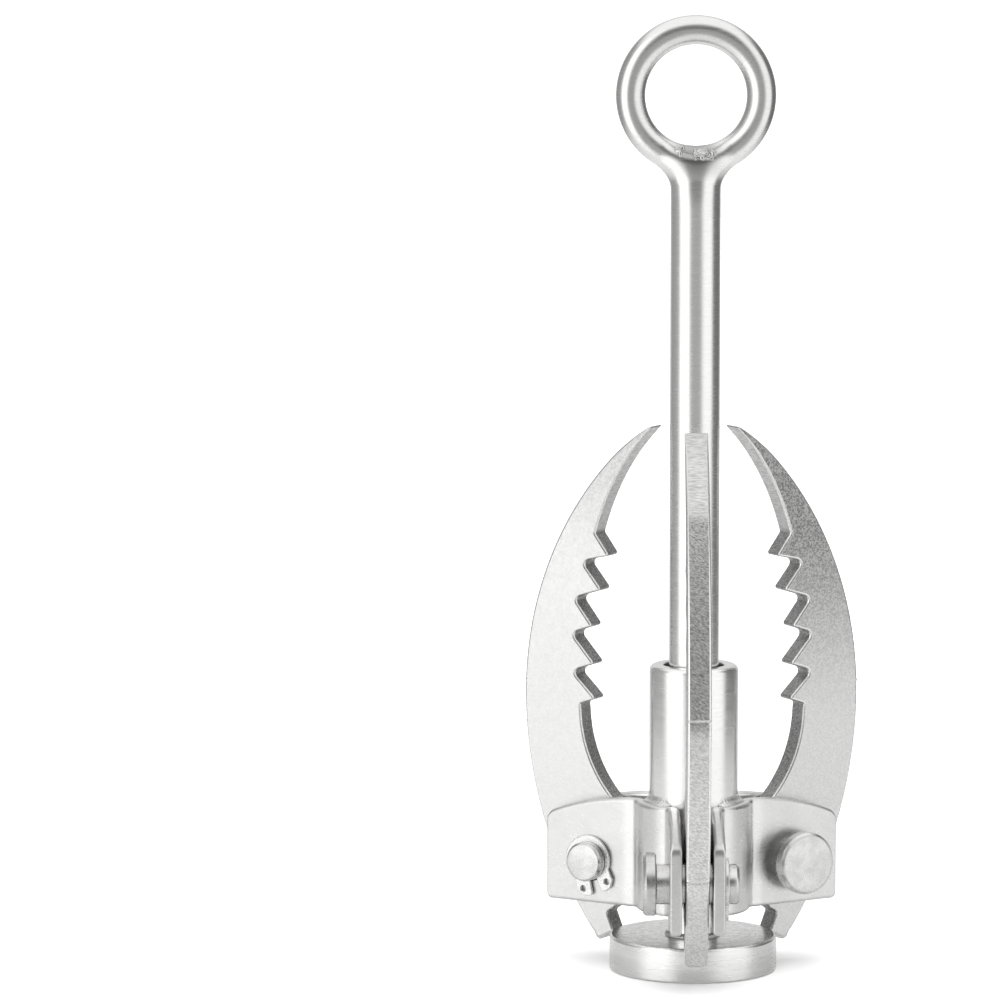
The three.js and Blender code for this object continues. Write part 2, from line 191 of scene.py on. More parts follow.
def loft(rings, closed=False):
    """A body through rings of equally many points; its ends are closed by one face each."""
    size = len(rings[0])
    verts = [point for ring in rings for point in ring]
    faces = []
    pairs = len(rings) if closed else len(rings) - 1
    for ring in range(pairs):
        here, ahead = ring * size, (ring + 1) % len(rings) * size
        for i in range(size):
            j = (i + 1) % size
            faces.append([here + i, here + j, ahead + j, ahead + i])
    if not closed:
        faces.append(list(range(size))[::-1])
        faces.append([(len(rings) - 1) * size + i for i in range(size)])
    return verts, faces


def round_hole(x, y, radius, steps):
    """A circle that runs clockwise, as the loop of a hole does."""
    return arc(x, y, radius, 360, 0, steps)[:-1]


def rounded_outline(corners, steps=6):
    """A closed outline whose corners, (x, y) or (x, y, radius), are rounded where a radius is given."""
    points = []
    for i, (x, y, *radius) in enumerate(corners):
        here = np.array((x, y), float)
        if not radius:
            points.append(tuple(here))
            continue
        back = np.array(corners[i - 1][:2], float) - here
        ahead = np.array(corners[(i + 1) % len(corners)][:2], float) - here
        back, ahead = back / np.linalg.norm(back), ahead / np.linalg.norm(ahead)
        half = math.acos(np.clip(back @ ahead, -1, 1)) / 2
        middle = here + (back + ahead) / np.linalg.norm(back + ahead) * radius[0] / math.sin(half)
        start, end = (here + way * radius[0] / math.tan(half) - middle for way in (back, ahead))
        first = math.atan2(start[1], start[0])
        sweep = (math.atan2(end[1], end[0]) - first + math.pi) % (2 * math.pi) - math.pi
        for step in range(steps + 1):
            a = first + sweep * step / steps
            points.append((middle[0] + radius[0] * math.cos(a), middle[1] + radius[0] * math.sin(a)))
    return points


def inset(loop, distance):
    """A closed loop moved to its left by one distance, or by one for each point, with mitred corners."""
    loop = np.asarray(loop, float)
    along = np.roll(loop, -1, 0) - loop
    along /= np.linalg.norm(along, axis=1)[:, None]
    normal = np.stack([-along[:, 1], along[:, 0]], 1)
    mitre = normal + np.roll(normal, 1, 0)
    return loop + mitre * (np.full(len(loop), 2.0) * distance / (mitre**2).sum(1))[:, None]


# A softened edge, from the face to the cut side: depth inwards from the side, depth below the face.
EDGE_PROFILE = [(1.2, 0), (1.12, 0), (1.04, 0.02), (0.46, 0.28), (0.4, 0.36), (0.06, 0.9), (0, 1), (0, 1.1)]


def slab(name, outline, holes, thickness, edge, materials):
    """A flat plate in the X-Z plane, centred on Y = 0, with softened edges. Outline anticlockwise, holes
    clockwise; edge gives the width of the softening at a place. The materials are for the faces, the
    softened edges and the cut sides; where there are fewer, the last one stands in."""
    levels = [(*level, -1) for level in EDGE_PROFILE] + [(*level, 1) for level in reversed(EDGE_PROFILE)]
    verts, faces, kinds, caps = [], [], [], ([], [])
    for loop in [outline, *holes]:
        size, first = len(loop), len(verts)
        rounding = np.array([edge(x, z) for x, z in loop])
        for depth, drop, side in levels:
            shrunk = inset(loop, depth * rounding)
            verts += [(x, side * (thickness / 2 - drop * r), z) for (x, z), r in zip(shrunk, rounding)]
        for level in range(len(levels) - 1):
            from_middle = abs(level + 1 - len(levels) // 2)
            kinds += [2 if from_middle < 2 else 0 if level in (0, len(levels) - 2) else 1] * size
            here = first + level * size
            for i in range(size):
                j = (i + 1) % size
                faces.append([here + i, here + j, here + size + j, here + size + i])
        caps[0].append(list(range(first, first + size)))
        caps[1].append([first + (len(levels) - 1) * size + i for i in range(size)])
    for loops in caps:
        order = [v for loop in loops for v in loop]
        flat = [[(verts[v][0], verts[v][2], 0) for v in loop] for loop in loops]
        faces += [[order[i] for i in triangle] for triangle in tessellate_polygon(flat)]
    made = piece(name, verts, faces, materials)
    for polygon, kind in zip(made.data.polygons, kinds):
        polygon.material_index = min(kind, len(materials) - 1)
    return made


def surface_of(field, low, high, cell):
    """The zero level of a field as a closed mesh, one vertex in each cell it crosses, and its normals."""
    axes = [np.arange(a, b + cell, cell) for a, b in zip(low, high)]
    grid = np.stack(np.meshgrid(*axes, indexing="ij"), -1)
    inside = field(grid) < 0
    cut = [slice(None, -1), slice(1, None)]
    count = sum(inside[a, b, c].astype(int) for a in cut for b in cut for c in cut)
    crossed = (count > 0) & (count < 8)
    index = np.full(crossed.shape, -1)
    index[crossed] = np.arange(crossed.sum())
    points = grid[:-1, :-1, :-1][crossed] + cell / 2

    def slope(at):
        steps = np.eye(3) * cell * 0.05
        return np.stack([field(at + s) - field(at - s) for s in steps], -1) / (0.1 * cell)

    for _ in range(8):
        gradient = slope(points)
        points -= gradient * (field(points) / (gradient**2).sum(-1))[:, None]
    faces = []
    for axis in range(3):
        ends = np.moveaxis(inside, axis, 0)
        changes = np.moveaxis(ends[1:] != ends[:-1], 0, axis)
        where = np.argwhere(changes)
        u, v = np.eye(3, dtype=int)[[a for a in range(3) if a != axis]]
        around = [where - u - v, where - v, where, where - u]
        faces.append(np.stack([index[tuple(a.T)] for a in around], 1))
    gradient = slope(points)
    return points, np.concatenate(faces).tolist(), gradient / np.linalg.norm(gradient, axis=1)[:, None]


def smooth_piece(name, points, faces, normals, material):
    """A piece that is shaded by the exact normals of its surface."""
    made = piece(name, points, faces, [material], crease=180)
    made.data.normals_split_custom_set_from_vertices(normals.tolist())
    return made


def smoothstep(value, low, high):
    t = np.clip((value - low) / (high - low), 0, 1)
    return t * t * (3 - 2 * t)


def rounded_larger(first, second, reach):
    """The larger of two fields, rounded where they come within reach of each other."""
    overlap = np.maximum(reach - np.abs(first - second), 0)
    return np.maximum(first, second) + overlap**2 / (4 * reach)


def turn(axis, degrees):
    return Matrix.Rotation(math.radians(degrees), 4, axis)


PIVOT = Matrix.Translation((PIVOT_R * MM, 0, PIVOT_Z * MM))  # middle of the pin on an arm along +X


def settle(made, body, slot, *nodes, place=None):
    """Puts a piece in place on its body and hides the CAD nodes it stands for. The finish it takes, slot,
    is not used.
    """
    if place is not None:
        made.matrix_world = place
    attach(made, body)
    if nodes:
        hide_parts(*nodes)


# ---- materials ----


def node(tree, kind, inputs=None, **settings):
    """A shader node; each input is a value or the socket that feeds it."""
    made = tree.nodes.new("ShaderNode" + kind)
    for key, value in settings.items():
        setattr(made, key, value)
    for key, value in (inputs or {}).items():
        if isinstance(value, bpy.types.NodeSocket):
            tree.links.new(value, made.inputs[key])
        else:
            made.inputs[key].default_value = value
    return made


def blank_tree(owner):
    """The emptied node tree of a new material or world."""
    owner.use_nodes = True
    owner.node_tree.nodes.clear()
    return owner.node_tree


def math_node(tree, operation, *values):
    return node(tree, "Math", dict(enumerate(values)), operation=operation).outputs[0]


def vector_node(tree, operation, first, second):
    made = node(tree, "VectorMath", {0: first, 1: second}, operation=operation)
    return made.outputs["Value" if operation == "DISTANCE" else "Vector"]


def split(tree, vector):
    """The three numbers of a vector."""
    return node(tree, "SeparateXYZ", {0: vector}).outputs


def remap(tree, value, low, high, new_low, new_high):
    inputs = {0: value, 1: low, 2: high, 3: new_low, 4: new_high}
    return node(tree, "MapRange", inputs, interpolation_type="SMOOTHSTEP").outputs[0]


def share_of(tree, value, low, high):
    """Where a value lies between two others, from 0 to 1."""
    return node(tree, "MapRange", {0: value, 1: low, 2: high, 3: 0.0, 4: 1.0}).outputs[0]


def blend(tree, share, first, second):
    return node(tree, "Mix", {0: share, 2: first, 3: second}, data_type="FLOAT").outputs[0]


def tint(tree, share, first, second):
    """A colour between two others."""
    return node(tree, "Mix", {0: share, 6: first, 7: second}, data_type="RGBA").outputs[2]


def noise(tree, place, per_mm, detail=3, roughness=0.55, distortion=0.0):
    """Noise with a number of cells per millimetre along each axis, one number or three."""
    if isinstance(per_mm, tuple):
        place = vector_node(tree, "MULTIPLY", place, per_mm)
        per_mm = 1
    inputs = {"Vector": place, "Scale": per_mm / MM, "Detail": detail, "Roughness": roughness,
              "Distortion": distortion}
    return node(tree, "TexNoise", inputs).outputs[0]


def own_place(tree):
    """The shaded point in the object's own space, in metres."""
    return node(tree, "TexCoord").outputs["Object"]


def height_mm(tree):
    """Height of the shaded point in the object's own space, in millimetres."""
    return math_node(tree, "MULTIPLY", split(tree, own_place(tree))[2], 1 / MM)


def from_axis(tree, x, y):
    """Distance of a point from the Z axis."""
    squares = math_node(tree, "ADD", math_node(tree, "MULTIPLY", x, x), math_node(tree, "MULTIPLY", y, y))
    return math_node(tree, "SQRT", squares)


def own_shift(tree):
    """Up to seven metres, different on each object, so that no two wear the same pattern."""
    return math_node(tree, "MULTIPLY", node(tree, "ObjectInfo").outputs["Random"], 7.0)


def object_place(tree):
    """Places on the object, shifted by its own amount."""
    return vector_node(tree, "ADD", own_place(tree), own_shift(tree))


def turned_place(tree):
    """Places as (radius, height, angle) about the object's Z axis, with the height shifted by the
    object's own amount. A radian counts as ten millimetres."""
    x, y, z = split(tree, own_place(tree))
    angle = math_node(tree, "ABSOLUTE", math_node(tree, "ARCTAN2", y, x))
    height = math_node(tree, "ADD", z, own_shift(tree))
    inputs = {0: from_axis(tree, x, y), 1: height, 2: math_node(tree, "MULTIPLY", angle, 10 * MM)}
    return node(tree, "CombineXYZ", inputs).outputs[0]


def scratches(tree, place, angles, thin=2.2, long=0.06, share=0.7):
    """Sparse thin scratches, a set for each Euler angle triple, as a mask from 0 to 1."""
    total = None
    for angle in angles:
        turned_by = tuple(math.radians(a) for a in angle)
        laid = node(tree, "Mapping", {"Vector": place, "Rotation": turned_by}).outputs[0]
        streak = remap(tree, noise(tree, laid, (thin, long, long), 2), share, share + 0.05, 0.0, 1.0)
        total = streak if total is None else math_node(tree, "MAXIMUM", total, streak)
    return total


STEEL_CAST = (1.0, 0.998, 0.99)  # stainless steel's colour beside a pure grey
NOISE_LOW, NOISE_HIGH = 0.25, 0.75  # noise seldom strays further than this


def steel(name, tones, tone_by, roughness, roughness_by, relief):
    """A bare metal. Its tone and roughness each run between two values by a pattern, and relief is
    (pattern, height in millimetres) pairs."""
    made = bpy.data.materials.new(name)
    tree = blank_tree(made)
    output = node(tree, "OutputMaterial")
    place = {"object": object_place(tree), "turned": turned_place(tree)}
    normal = None
    for pattern, height in relief:
        inputs = {"Height": pattern(tree, place), "Distance": height * MM, "Strength": 1.0}
        if normal is not None:
            inputs["Normal"] = normal
        normal = node(tree, "Bump", inputs).outputs[0]
    dark, light = ((*(value * tone for value in STEEL_CAST), 1) for tone in tones)
    colour = tint(tree, tone_by(tree, place), dark, light)
    rough = remap(tree, roughness_by(tree, place), NOISE_LOW, NOISE_HIGH, *roughness)
    inputs = {"Base Color": colour, "Metallic": 1.0, "Roughness": rough, "Normal": normal}
    shader = node(tree, "BsdfPrincipled", inputs)
    tree.links.new(shader.outputs[0], output.inputs[0])
    return made


def spots(per_mm, detail=3, where="object", **how):
    return lambda tree, place: noise(tree, place[where], per_mm, detail, **how)


def marks(angles, **how):
    return lambda tree, place: scratches(tree, place["object"], angles, **how)


def stretched(pattern, low, high, new_low, new_high):
    return lambda tree, place: remap(tree, pattern(tree, place), low, high, new_low, new_high)


def worn_by_height(per_mm, low, high):
    """Even and light below the first height, darker and mottled from there to the second."""
    def pattern(tree, place):
        worn = remap(tree, height_mm(tree), low, high, 0.0, 1.0)
        grain = remap(tree, noise(tree, place["object"], per_mm, 1, 0.6), 0.36, 0.64, 0.0, 1.0)
        even = math_node(tree, "MULTIPLY_ADD", grain, 0.14, 0.86)
        mottled = math_node(tree, "MULTIPLY", grain, 0.46)
        return blend(tree, worn, even, mottled)
    return pattern


def patchy_with_painted_light_near_axis(per_mm, near, far):
    """Patchy, and lightest within the first distance of the object's Z axis, where painted light is added
    that fades out by the second distance.
    """
    def pattern(tree, place):
        radius = split(tree, place["turned"])[0]
        # painted light, strongest near the axis
        painted_light = remap(tree, radius, near * MM, far * MM, 0.5, 0.0)
        return math_node(tree, "MULTIPLY_ADD", noise(tree, place["object"], per_mm, 4), 0.46, painted_light)
    return pattern


def patches_with_painted_ring_shade(per_mm, inner, outer, blur=0.2):
    """Patchy, and darkened by painted shade between two distances from the object's Z axis, with blurred
    limits.
    """
    def pattern(tree, place):
        radius = split(tree, place["turned"])[0]
        patches = remap(tree, noise(tree, place["object"], per_mm, 3, 0.6), 0.2, 0.8, 0.0, 1.0)
        begun = remap(tree, radius, (inner - blur) * MM, inner * MM, 0.0, 1.0)
        ended = remap(tree, radius, outer * MM, (outer + blur) * MM, 1.0, 0.0)
        return math_node(tree, "SUBTRACT", patches, math_node(tree, "MULTIPLY", begun, ended))
    return pattern


def brushed_with_painted_neck_shade(tree, place):
    """Bright, a little darker up the ring, and darkened by painted shade on the front of the wire just over
    the end of the rod, where it lies in shadow.
    """
    bright = math_node(tree, "MULTIPLY_ADD", noise(tree, place["object"], BRUSHED, 3), 0.2, 0.8)
    # Painted shade: darkens the front of the wire over the end of the rod, which lies in shadow above the
    # rod's shoulder.
    centre = (0, -EYE_WIRE * MM, (EYE_BOTTOM + 2.6) * MM)
    from_neck_front = vector_node(tree, "DISTANCE", own_place(tree), centre)
    painted_shade_at_neck = remap(tree, from_neck_front, 3 * MM, 10 * MM, 0.85, 0.0)
    darker_up_ring = remap(tree, height_mm(tree), EYE_BOTTOM - 2, EYE_BOTTOM + 10, 0.0, 0.16)
    kept = math_node(tree, "SUBTRACT", 1.0, math_node(tree, "MAXIMUM", painted_shade_at_neck, darker_up_ring))
    return math_node(tree, "MULTIPLY", bright, kept)


def ground_tip(tree, share):
    """A share that holds where the tip was ground after the cut: down to the elbow on the inside, and
    less far down the back."""
    x = split(tree, own_place(tree))[0]
    inside, outside = ELBOW[0] + 1, ELBOW[0] + 4
    lowest = remap(tree, x, inside * MM, outside * MM, ELBOW[1] - 1.5, ELBOW[1] + 9)
    above = math_node(tree, "SUBTRACT", height_mm(tree), lowest)
    return remap(tree, above, 0, 4, 0.0, share)


def strokes(lines_share):
    """Short slanting strokes across a cut, with level grinding lines of their own strength at the tip."""
    def pattern(tree, place):
        slant = (math.radians(28), 0, 0)
        laid = node(tree, "Mapping", {"Vector": place["object"], "Rotation": slant}).outputs[0]
        cut = noise(tree, laid, (2.6, 0.9, 3.2), 3, 0.65, 0.5)
        lines = noise(tree, place["object"], (0.4, 0.4, 5.0), 2)
        level = math_node(tree, "MULTIPLY_ADD", lines, lines_share, 0.5 - 0.5 * lines_share)
        return blend(tree, ground_tip(tree, 1.0), cut, level)
    return pattern


def cut_tone(tree, place):
    """The last pass of the cut, along the back below the belly, and the ground tip are lighter. Each ridge
    that the cut left has a painted highlight along it over a line of painted shade below.
    """
    grain = remap(tree, strokes(0.5)(tree, place), 0.38, 0.62, 0.0, 1.0)
    height = height_mm(tree)
    flat = vector_node(tree, "MULTIPLY", own_place(tree), (1, 0, 1))
    from_centre = vector_node(tree, "DISTANCE", flat, ((BELLY - BACK_LOWER) * MM, 0, BELLY_Z * MM))
    on_back = remap(tree, from_centre, (BACK_LOWER - 4) * MM, (BACK_LOWER - 3) * MM, 0.0, 1.0)
    low_ridge, high_ridge = CUT_RIDGES
    second_pass = remap(tree, height, high_ridge - 6, high_ridge, 0.5, 0.0)
    third_pass = remap(tree, height, low_ridge - 0.4, low_ridge + 0.4, 0.12, 0.0)
    passes_and_painted_ridge_light = math_node(tree, "ADD", second_pass, third_pass)
    for ridge in CUT_RIDGES:
        for line, share in ((ridge, 0.5), (ridge - 0.9, -0.35)):  # a painted highlight along the ridge over a line of painted shade below it
            away = math_node(tree, "ABSOLUTE", math_node(tree, "SUBTRACT", height, line))
            passes_and_painted_ridge_light = math_node(tree, "ADD", passes_and_painted_ridge_light, remap(tree, away, 0.1, 0.5, share, 0.0))
    passes_and_painted_ridge_light = math_node(tree, "MULTIPLY", on_back, passes_and_painted_ridge_light)
    light = math_node(tree, "MAXIMUM", passes_and_painted_ridge_light, ground_tip(tree, 0.34))
    return math_node(tree, "MULTIPLY_ADD", grain, 0.5, light)


def side_and_top(side, top):
    """One pattern round the side of the foot and another on its top."""
    def pattern(tree, place):
        on_top = remap(tree, height_mm(tree), FOOT_HEIGHT - 0.6, FOOT_HEIGHT - 0.1, 0.0, 1.0)
        return blend(tree, on_top, side(tree, place), top(tree, place))
    return pattern


# Cells per millimetre, along each axis, of the marks that a brush leaves round a body.
BRUSHED, LONG_BRUSHED, BRUSH_LINES = (0.25, 0.25, 2.4), (0.12, 0.12, 1.8), (0.3, 0.3, 2.0)
CROSSED = [(10, 20, 75), (65, -30, 15), (-40, 50, -20)]  # Euler angles of three sets of scratches

polished = steel(
    "polished_stainless", (0.86, 0.95), spots(BRUSHED, 3),
    (0.19, 0.29), spots(LONG_BRUSHED, 4),
    [(spots(0.07, 1), 0.12), (spots(BRUSH_LINES, 3), 0.0005), (marks(CROSSED, share=0.74), 0.0004)])
# The eye carries painted shade on the front of its wire over the end of the rod.
eye_steel_with_neck_shade = steel(
    "eye_stainless_painted_neck_shade", (0.36, 0.95), brushed_with_painted_neck_shade,
    (0.19, 0.29), spots(LONG_BRUSHED, 4),
    [(spots(0.07, 1), 0.12), (spots(0.5, 3), 0.004), (marks(CROSSED, share=0.73), 0.001)])
sleeve_steel = steel(
    "brushed_sleeve_stainless", (0.88, 0.96), spots(BRUSHED, 3),
    (0.18, 0.28), spots(LONG_BRUSHED, 4),
    [(spots(0.06, 1), 0.08), (spots(BRUSH_LINES, 3), 0.0004), (marks(CROSSED, share=0.73), 0.0005)])
# The inside of the sleeve's bore is given a dark tone: painted shade for the narrow gap round the rod.
bore_steel_with_painted_shade = steel(
    "bored_stainless_painted_shade", (0.22, 0.34), spots(BRUSHED, 3),
    (0.4, 0.5), spots(0.8), [(spots(0.5), 0.01)])
lathe_turned = steel(
    "lathe_turned_stainless", (0.64, 1.0),
    side_and_top(stretched(spots((0.6, 0.6, 0.2), 4, "turned"), 0.2, 0.8, 0.62, 0.86),
                 stretched(spots((0.5, 0.8, 0.5), 4, roughness=0.7), 0.36, 0.64, 0.25, 1.0)),
    (0.20, 0.30), spots((1.2, 1.2, 0.1), 4, "turned"),
    [(spots(0.2, 3), 0.03), (spots((1.0, 1.6, 0.06), 3, "turned"), 0.0003)])
# The plates are made lighter round the sleeve, across the panels and into the bends: painted light standing
# in for the light they reflect there.
satin = steel(
    "satin_plate_stainless_painted_light", (0.66, 0.92), patchy_with_painted_light_near_axis(0.12, 19.5, 22.5),
    (0.26, 0.36), spots((0.4, 0.4, 1.6), 4),
    [(spots(0.07, 2), 0.14), (spots(0.5, 3), 0.003), (marks(CROSSED, long=0.02, share=0.72), 0.0003)])
worn_face = steel(
    "tumbled_claw_face", (0.20, 0.74), worn_by_height(2.1, 68, 138),
    (0.32, 0.46), spots(1.3, 4),
    [(spots(0.16, 2), 0.05), (spots(2.2, 1, roughness=0.6), 0.045), (marks(CROSSED), 0.004)])
bright_face = steel(
    "bright_claw_face", (0.49, 0.76), worn_by_height(1.5, 118, 166),
    (0.32, 0.44), spots(1.3, 4),
    [(spots(0.16, 2), 0.05), (spots(1.6, 3, roughness=0.6), 0.008), (marks(CROSSED), 0.002)])
CLAW_FACES = {"front": worn_face, "right": worn_face, "left": bright_face}
# The claws' rounded edges: worn bright metal, with a tone lighter than the faces that also paints the
# bright highlight along them.
worn_rim_with_painted_highlight = steel(
    "worn_claw_rim_painted_highlight", (0.80, 0.95), spots(0.7, 3),
    (0.18, 0.30), spots(1.1, 3),
    [(spots(0.6, 3), 0.02)])
cut_edge = steel(
    "cut_claw_edge", (0.28, 0.95), cut_tone,
    (0.36, 0.54), spots((1.6, 0.8, 1.6), 4),
    [(strokes(0.04), 0.17), (spots(0.4, 3), 0.12)])
# Each pin head gets a ring of painted shade where its face meets the chamfer, standing in for the dark line
# along that edge.
pin_metal = steel(
    "scratched_pin_stainless", (0.60, 0.80),
    patches_with_painted_ring_shade(0.3, PIN_HEAD_RADIUS - PIN_CHAMFER - 0.3, PIN_HEAD_RADIUS - PIN_CHAMFER),
    (0.20, 0.30), spots(0.6, 3),
    [(spots(0.25, 3), 0.04), (marks(CROSSED, thin=1.2, long=0.05, share=0.64), 0.0012)])
clip_metal = steel(
    "pressed_clip_stainless", (0.74, 0.88), spots(0.8, 3),
    (0.22, 0.34), spots(1.5, 4),
    [(spots(0.4, 3), 0.02), (marks(CROSSED), 0.001)])
weld_metal = steel(
    "weld_stainless", (0.72, 0.92), spots(0.7, 4),
    (0.26, 0.42), spots(1.1, 4),
    [(spots(0.6, 4), 0.08), (spots(1.6, 3), 0.015)])
raw_weld = steel(
    "raw_weld_stainless", (0.35, 0.85), spots(0.6, 4),
    (0.16, 0.30), spots(1.1, 4),
    [(spots(1.2, 3), 0.06)])
fillet_metal = steel(
    "ground_fillet_stainless", (0.74, 0.88), spots(0.5, 4),
    (0.24, 0.36), spots(1.1, 4),
    [(spots(0.25, 3), 0.06), (spots(0.8, 3), 0.004)])


# ---- shaft ----


def foot_disc():
    flat = FOOT_RADIUS - FOOT_EDGE
    support = flat - 0.1  # a ring just inside each rounding keeps the shading of the flats flat
    profile = [(0, 0), (support, 0)]
    profile += arc(flat, FOOT_EDGE, FOOT_EDGE, -90, 0, 6)
    profile += arc(flat, FOOT_HEIGHT - FOOT_EDGE, FOOT_EDGE, 0, 90, 6)
    profile += [(support, FOOT_HEIGHT), (0, FOOT_HEIGHT)]
    return piece("foot_disc", *turned(profile, 180), [lathe_turned])


def rod():
    bottom, top = rod_low[2], NECK_SEAM + 2
    chamfer, lengths = 0.3, 12
    profile = [(0, bottom), (ROD_RADIUS - chamfer, bottom), (ROD_RADIUS, bottom + chamfer)]
    profile += [(ROD_RADIUS, bottom + (top - bottom) * i / lengths) for i in range(1, lengths + 1)]
    return piece("polished_rod", *turned([*profile, (0, top)], 128), [polished])


def ripple_bead(inner, bottom, leg, start, end, ripples, depth, belly, steps):
    """A weld bead in the corner between a cylinder's side and a face below it, from one azimuth to
    another. Its scales trail behind like crescents, and an open bead tapers towards both ends."""
    closed = end - start >= 360
    root = 0.25  # how far the bead's hidden corner sinks into the metal
    lag = 1.8  # radians by which the middle of a scale trails its ends
    hollow = 0.3  # share by which the bead's face is sunk between its two edges
    rings = []
    for i in range(steps if closed else steps + 1):
        along = i / steps
        taper = 1 if closed else 0.3 + 0.7 * smoothstep(min(along, 1 - along), 0, 0.12)
        ring = [(inner - root, bottom - root)]
        for part in np.linspace(0, 1, 9):
            a = part * math.pi / 2
            phase = ripples * along * 2 * math.pi + lag * math.sin(math.pi * part)
            bulge = belly * math.sin(2 * a) ** 2 + depth / leg * math.sin(phase) * math.sin(2 * a)
            reach = leg * taper * (1 + bulge - hollow * math.sin(2 * a))
            ring.append((inner + reach * math.cos(a), bottom + reach * math.sin(a)))
        azimuth = math.radians(start + (end - start) * along)
        rings.append([(r * math.cos(azimuth), r * math.sin(azimuth), z) for r, z in ring])
    return loft(rings, closed)


def foot_weld():
    bead = ripple_bead(ROD_RADIUS, FOOT_HEIGHT, FOOT_WELD_LEG, 0, 360, ripples=60, depth=0.06, belly=0.12,
                       steps=480)
    return piece("foot_weld_bead", *bead, [weld_metal], crease=80)


def eye_field(at):
    """Distance-like field of the eye with the top of the rod run into it by hollow fillets."""
    x, y, z = at[..., 0], at[..., 1], at[..., 2]
    ring = np.hypot(np.hypot(x, z - EYE_Z) - EYE_MEAN, y) - EYE_WIRE
    flatten = 1 + ROD_FLATTENING * smoothstep(z, NECK_SEAM + 2, NECK_SEAM + 20)
    sink = SEAM_SINK * smoothstep(NECK_SEAM - z, 0, 1.5)
    cover = 0.02  # how far the neck's surface lies outside the rod's
    side = np.hypot(x, y * flatten) - ROD_RADIUS - cover + sink
    stub = rounded_larger(side, z - (EYE_BOTTOM + ROD_OVER_WIRE), ROD_SHOULDER)
    stub = np.maximum(stub, NECK_SEAM - 2 - z)
    sideways = x**2 / (x**2 + y**2 + 1e-6)
    fillet = NECK_SIDE_FILLET + (NECK_FILLET - NECK_SIDE_FILLET) * sideways
    a, b = np.maximum(fillet - ring, 0), np.maximum(fillet - stub, 0)
    return np.maximum(fillet, np.minimum(ring, stub)) - np.hypot(a, b)


def eye():
    reach = EYE_MEAN + EYE_WIRE + 1
    low = (-reach, -ROD_RADIUS - 1, NECK_SEAM - 3)
    high = (reach, ROD_RADIUS + 1, EYE_Z + reach)
    return smooth_piece("eye_and_neck", *surface_of(eye_field, low, high, 0.5), eye_steel_with_neck_shade)


# Patches of raw weld: middle in x, height over the wire's middle line, half width, half height, lumps.
WELD_PATCHES = [(-4.4, 3.1, 1.3, 0.9, 9), (2.6, 2.1, 3.0, 1.3, 30)]
WELD_FRONT = -12.0  # a place in front of the eye, from which each lump moves back until it meets it
LUMP_SINK = 0.2  # how deep the middle of a lump lies in the eye
LUMP_MERGE = 0.3  # how far neighbouring lumps run into each other


def weld_marks():
    """Lumps of unground weld on the front of the eye, over the end of the rod."""
    draws = np.random.default_rng(7)
    lumps = []
    for x, rise, wide, tall, count in WELD_PATCHES:
        z = EYE_BOTTOM + rise
        for _ in range(count):
            at = np.array([x + wide * draws.uniform(-1, 1), WELD_FRONT, z + tall * draws.uniform(-1, 1)])
            for _ in range(40):
                at[1] += 0.6 * max(float(eye_field(at)), 0)
            lumps.append((at + (0, LUMP_SINK, 0), draws.uniform(0.35, 0.9), draws.uniform(0.7, 1.6, 3)))

    def field(at):
        total = np.full(at.shape[:-1], 9.0)
        for middle, radius, stretch in lumps:
            lump = np.linalg.norm((at - middle) / stretch, axis=-1) - radius
            total = -rounded_larger(-total, -lump, LUMP_MERGE)
        return total

    low, high = (-8, WELD_FRONT, EYE_BOTTOM - 2.5), (8, 0, EYE_BOTTOM + 7.5)
    return smooth_piece("eye_weld_marks", *surface_of(field, low, high, 0.16), raw_weld)


# ---- sleeve and bracket ----


def sleeve():
    # Each corner of the wall: radius, height, rounding, the angle where that starts, and its steps.
    roundings = [
        (SLEEVE_BORE, SLEEVE_BOTTOM, BORE_EDGE_BELOW, 180, 3),
        (SLEEVE_RADIUS, SLEEVE_BOTTOM, SLEEVE_EDGE_BELOW, 270, 4),
        (SLEEVE_RADIUS, SLEEVE_TOP, SLEEVE_EDGE, 0, 8),
        (SLEEVE_BORE, SLEEVE_TOP, BORE_EDGE, 90, 4),
    ]
    profile = []
    for radius, height, edge, start, steps in roundings:
        inwards = edge if radius == SLEEVE_BORE else -edge
        upwards = edge if height == SLEEVE_BOTTOM else -edge
        profile += arc(radius + inwards, height + upwards, edge, start, start + 90, steps)
    made = piece("slide_sleeve", *turned([*profile, profile[0]], 160), [sleeve_steel, bore_steel_with_painted_shade])
    for polygon in made.data.polygons:
        polygon.material_index = int(math.hypot(*polygon.center[:2]) < (SLEEVE_BORE + 0.1) * MM)
    return made


def ear_top(s):
    """Height of an ear's upper edge at a distance along the arm."""
    return EAR_TOP - EAR_TOP_ARC + math.sqrt(EAR_TOP_ARC**2 - max(0.0, s - PIVOT_R / 2) ** 2)


def corner_draw(radius, to_end):
    """How far a rounded corner draws an edge in at a distance from the end."""
    return 0.0 if to_end >= radius else radius - math.sqrt(radius**2 - (radius - to_end) ** 2)


